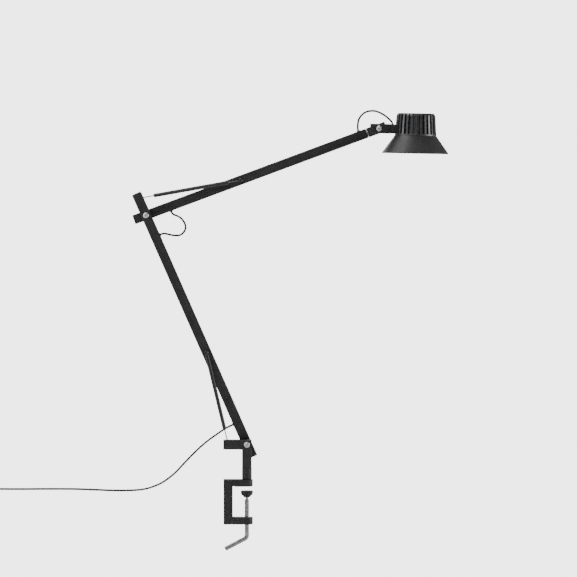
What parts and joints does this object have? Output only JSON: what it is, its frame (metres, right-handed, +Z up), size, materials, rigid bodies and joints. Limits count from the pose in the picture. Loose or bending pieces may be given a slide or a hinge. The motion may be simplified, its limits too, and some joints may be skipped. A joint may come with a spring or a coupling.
{
  "type": "clamp-on desk lamp",
  "caption": "Clamp-on task lamp with two square-tube arms joined by sprung bolted joints, a tilting and turning finned LED head with a conical shade, and a plug-in lead.",
  "frame": {"origin": "the face under the clamp's upper jaw that rests on the table top, on the axis of the clamp screw and of the lamp's swivel", "axes": "+Z up, +X the way the clamp opens and the head reaches, the arms move in planes of constant Y"},
  "size_m": [0.8239, 0.2712, 0.7367],
  "materials": {
    "black_metal": "black powder coat, fine satin grain",
    "black_plastic": "moulded black plastic",
    "bright_steel": "nickel-plated steel",
    "spring_steel": "drawn wire",
    "dark_aluminium": "black anodised casting",
    "cable_black": "matt cable sheath",
    "rubber": "matt rubber",
    "white_plastic": "moulded white plastic",
    "brass": "drawn brass"
  },
  "bodies": {
    "clamp": {"clamp_frame": "black_metal", "jaw_liner": "rubber", "swivel_bush": "black_plastic", "mains_cord_run": "cable_black", "cord_coil": "cable_black", "plug_adapter": "black_plastic", "plug_pins": "brass"},
    "clamp_foot": {"screw_foot": "black_plastic"},
    "clamp_screw": {"clamp_screw": "bright_steel"},
    "bracket": {"swivel_collar": "black_metal", "swivel_screw": "bright_steel", "bracket": "black_metal", "bracket_end_plug": "black_plastic", "lower_anchor_pin": "bright_steel", "base_bolt": "bright_steel", "base_nut": "bright_steel", "mains_cord_drop": "cable_black"},
    "lower_arm": {"lower_arm_tube": "black_metal", "lower_arm_foot_plug": "black_plastic", "lower_arm_top_plug": "black_plastic", "base_bush": "white_plastic", "lower_spring_pin": "black_metal", "lower_spring_sleeve": "black_plastic", "lower_spring_coil": "spring_steel", "mains_cord_grommet": "rubber", "elbow_loop_lower_grommet": "rubber", "lower_arm_cable": "cable_black", "upper_anchor_pin": "bright_steel", "elbow_bolt": "bright_steel", "elbow_nut": "bright_steel", "elbow_loop": "cable_black"},
    "lower_hook": {"lower_spring_hook": "spring_steel"},
    "upper_arm": {"upper_arm_tube": "black_metal", "upper_arm_end_plug": "black_plastic", "elbow_bush": "white_plastic", "upper_spring_pin": "black_metal", "upper_spring_sleeve": "black_plastic", "upper_spring_coil": "spring_steel", "elbow_loop_upper_grommet": "rubber", "head_loop_grommet": "rubber", "upper_arm_cable": "cable_black", "wrist_socket": "white_plastic", "wrist_washer": "bright_steel", "head_loop_rear": "cable_black"},
    "upper_hook": {"upper_spring_hook": "spring_steel"},
    "wrist": {"wrist_block": "black_metal", "wrist_clip": "spring_steel", "head_washer": "bright_steel", "head_loop_front": "cable_black"},
    "head": {"head_bar": "black_metal", "head_bolt": "bright_steel", "head_nut": "bright_steel", "head_neck": "black_plastic", "heat_sink": "dark_aluminium", "shade_cone": "black_metal", "led_board": "white_plastic", "led_screw": "bright_steel", "reflector": "white_plastic", "diffuser": "white_plastic"},
    "button": {"dimmer_button": "black_plastic"}
  },
  "joints": [
    {"name": "base_swivel", "type": "hinge", "parent": "clamp", "child": "bracket", "pos_m": [0, 0, 0.0139], "axis": [0, 0, 1], "range_deg": [-170, 170], "deforming": ["mains_cord_run"]},
    {"name": "base_tilt", "type": "hinge", "parent": "bracket", "child": "lower_arm", "pos_m": [0, 0.0176, 0.07], "axis": [0, 1, 0], "range_deg": [-22, 45], "deforming": ["mains_cord_drop"]},
    {"name": "lower_hook_slide", "type": "slide", "parent": "lower_arm", "child": "lower_hook", "axis": [0.2323, 0, -0.9727], "range_m": [-0.0118, 0.0238], "deforming": ["lower_spring_coil"]},
    {"name": "elbow", "type": "hinge", "parent": "lower_arm", "child": "upper_arm", "pos_m": [-0.16848, 0.0352, 0.45254], "axis": [0, 1, 0], "range_deg": [-25, 20], "deforming": ["elbow_loop"]},
    {"name": "upper_hook_slide", "type": "slide", "parent": "upper_arm", "child": "upper_hook", "axis": [-0.9846, 0, -0.1747], "range_m": [-0.0132, 0.0106], "deforming": ["upper_spring_coil"]},
    {"name": "wrist_turn", "type": "hinge", "parent": "upper_arm", "child": "wrist", "pos_m": [0.22098, 0.0352, 0.5973], "axis": [0.9373, 0, 0.3484], "range_deg": [-90, 90], "deforming": ["head_loop_rear"]},
    {"name": "head_tilt", "type": "hinge", "parent": "wrist", "child": "head", "pos_m": [0.22098, 0.0176, 0.5973], "axis": [0, 1, 0], "range_deg": [-60, 50], "deforming": ["head_loop_front"]},
    {"name": "button_press", "type": "slide", "parent": "head", "child": "button", "axis": [-0.0209, 0, -0.9998], "range_m": [0, 0.001], "stiffness_N_per_m": 400},
    {"name": "foot_slide", "type": "slide", "parent": "clamp", "child": "clamp_foot", "axis": [0, 0, 1], "range_m": [-0.031, 0.0066]},
    {"name": "screw_turn", "type": "hinge", "parent": "clamp_foot", "child": "clamp_screw", "pos_m": [0, 0, -0.0217], "axis": [0, 0, 1], "range_deg": [-8940, 1905]}
  ],
  "couplings": [
    {"joint": "lower_hook_slide", "follows": "base_tilt", "m_per_rad": 0.0295},
    {"joint": "upper_hook_slide", "follows": "elbow", "m_per_rad": 0.029},
    {"joint": "screw_turn", "follows": "foot_slide", "rad_per_m": 5026.5}
  ]
}
